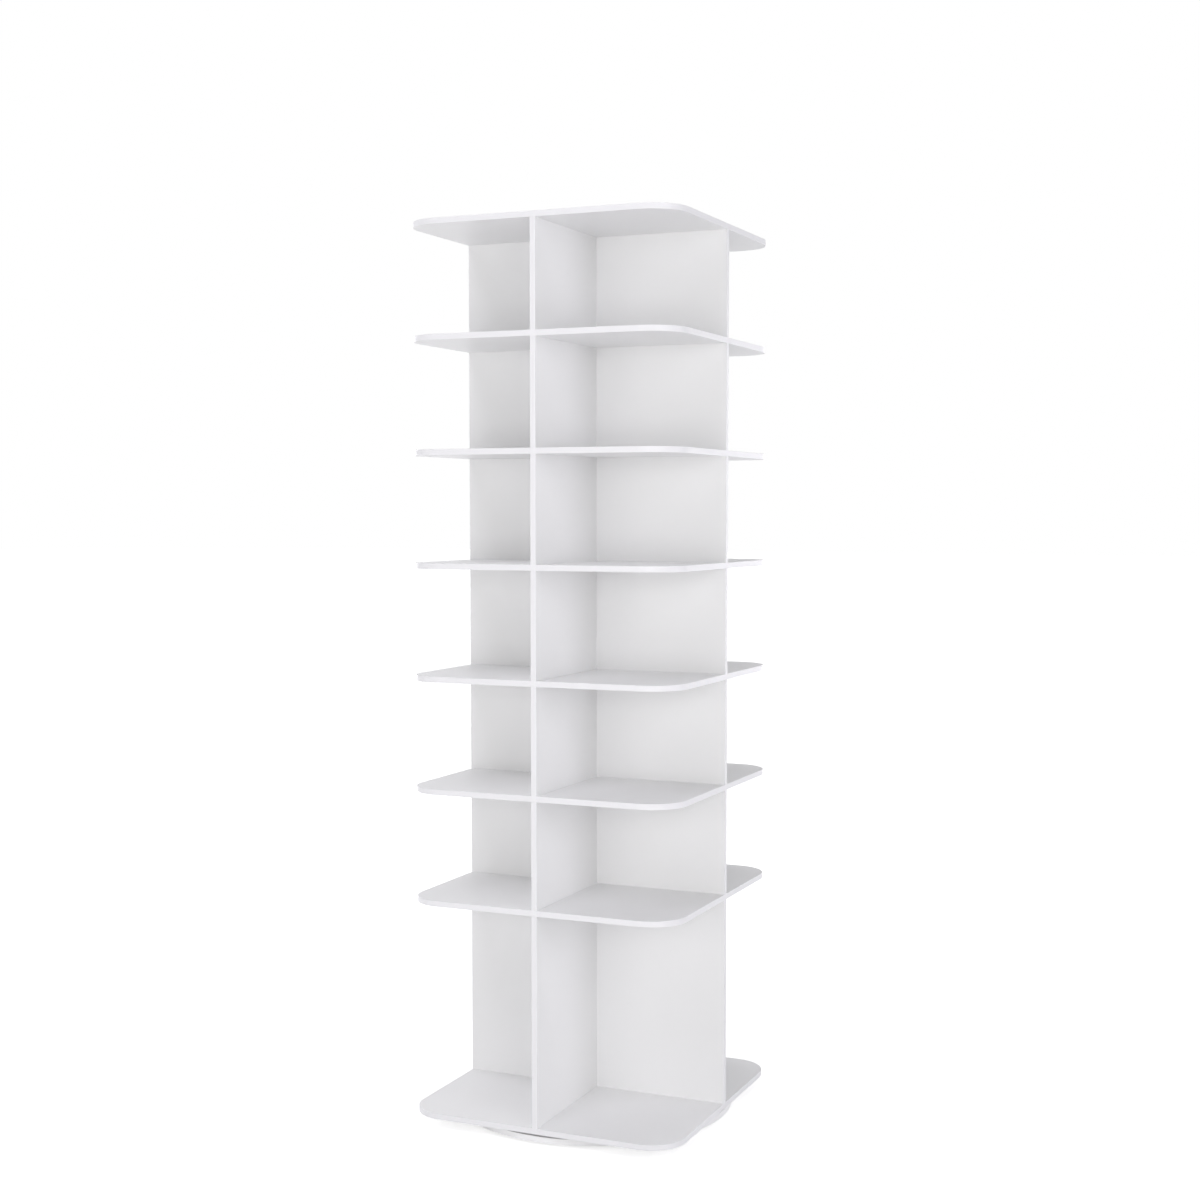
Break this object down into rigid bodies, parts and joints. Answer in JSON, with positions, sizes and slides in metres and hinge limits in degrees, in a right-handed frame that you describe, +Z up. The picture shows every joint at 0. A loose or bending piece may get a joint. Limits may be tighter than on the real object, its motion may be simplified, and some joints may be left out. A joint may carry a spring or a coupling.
{
  "type": "rotating shoe tower",
  "caption": "Tall open shoe tower of square shelves with round corners on a cross of upright panels, turning on a ball-bearing base.",
  "frame": {"origin": "middle of the round base, at the floor", "axes": "+Z up along the turning axis; -Y is the front, where the front half panels point; the wide panels stand along X"},
  "size_m": [0.6, 0.6, 1.874],
  "materials": {
    "white_laminated_board": "white melamine paper on particle board, satin, with a very fine grain",
    "white_edge_band": "white plastic band, satin, edges eased",
    "pad_rubber": "black rubber, matt",
    "turntable_steel": "zinc-plated pressed sheet steel",
    "fastener_steel": "zinc-plated steel, bright",
    "ball_steel": "polished bearing steel",
    "cage_plastic": "natural nylon, matt",
    "cam_metal": "die-cast zinc, satin",
    "cover_plastic": "white plastic, satin",
    "dowel_wood": "bare beech, fluted"
  },
  "bodies": {
    "base": {"foot_pads": "pad_rubber", "base_disc": "white_laminated_board", "base_edge_band": "white_edge_band", "turntable_lower_plate": "turntable_steel", "lower_plate_screws": "fastener_steel"},
    "ball_ring": {"bearing_balls": "ball_steel", "ball_cage": "cage_plastic"},
    "tower": {"turntable_upper_plate": "turntable_steel", "upper_plate_screws": "fastener_steel", "bottom_shelf": "white_laminated_board", "shelf_1": "white_laminated_board", "shelf_2": "white_laminated_board", "shelf_3": "white_laminated_board", "shelf_4": "white_laminated_board", "shelf_5": "white_laminated_board", "shelf_6": "white_laminated_board", "top_shelf": "white_laminated_board", "shelf_edge_bands": "white_edge_band", "boot_tier_wide_panel": "white_laminated_board", "boot_tier_front_panel": "white_laminated_board", "boot_tier_back_panel": "white_laminated_board", "tier_1_wide_panel": "white_laminated_board", "tier_1_front_panel": "white_laminated_board", "tier_1_back_panel": "white_laminated_board", "tier_2_wide_panel": "white_laminated_board", "tier_2_front_panel": "white_laminated_board", "tier_2_back_panel": "white_laminated_board", "tier_3_wide_panel": "white_laminated_board", "tier_3_front_panel": "white_laminated_board", "tier_3_back_panel": "white_laminated_board", "tier_4_wide_panel": "white_laminated_board", "tier_4_front_panel": "white_laminated_board", "tier_4_back_panel": "white_laminated_board", "tier_5_wide_panel": "white_laminated_board", "tier_5_front_panel": "white_laminated_board", "tier_5_back_panel": "white_laminated_board", "tier_6_wide_panel": "white_laminated_board", "tier_6_front_panel": "white_laminated_board", "tier_6_back_panel": "white_laminated_board", "panel_edge_bands": "white_edge_band", "cam_locks": "cam_metal", "cam_covers": "cover_plastic", "double_bolts": "fastener_steel", "single_bolts": "fastener_steel", "long_dowels": "dowel_wood", "short_dowels": "dowel_wood"}
  },
  "joints": [
    {"name": "tower_spin", "type": "hinge", "parent": "base", "child": "tower", "pos_m": [0, 0, 0.0205], "axis": [0, 0, 1], "continuous": true},
    {"name": "ball_ring_spin", "type": "hinge", "parent": "base", "child": "ball_ring", "pos_m": [0, 0, 0.0205], "axis": [0, 0, 1], "continuous": true}
  ],
  "couplings": [
    {"joint": "ball_ring_spin", "follows": "tower_spin", "ratio": 0.5}
  ]
}
